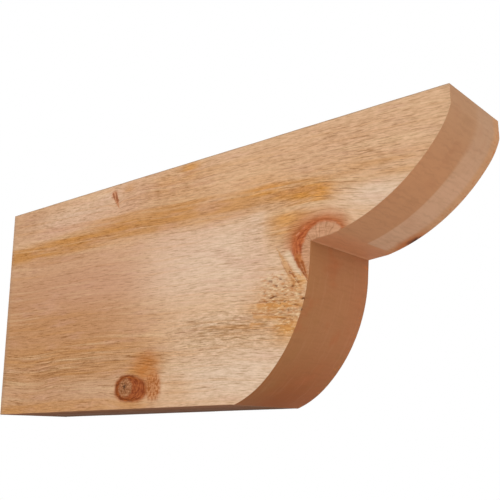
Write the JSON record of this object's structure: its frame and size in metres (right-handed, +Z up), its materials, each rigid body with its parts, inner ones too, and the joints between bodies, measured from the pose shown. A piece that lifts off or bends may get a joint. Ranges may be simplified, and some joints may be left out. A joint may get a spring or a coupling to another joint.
{
  "type": "rafter tail",
  "caption": "Solid sawn timber rafter tail with a plumb wall end and a free end cut to an upper and a lower rounded lobe, with a notch between them.",
  "frame": {"origin": "centre of the plumb wall face, where the tail is built in", "axes": "+X along the timber from the wall face to the tip, +Y across its thickness, +Z up; the broad face that the picture shows looks along -Y"},
  "size_m": [0.6096, 0.1016, 0.254],
  "materials": {
    "cedar": "rough-sawn cedar with knots and a yellow sapwood band on its broad faces, smooth sawn on the cut profile"
  },
  "bodies": {
    "root": {"rafter_tail": "cedar"}
  },
  "joints": []
}
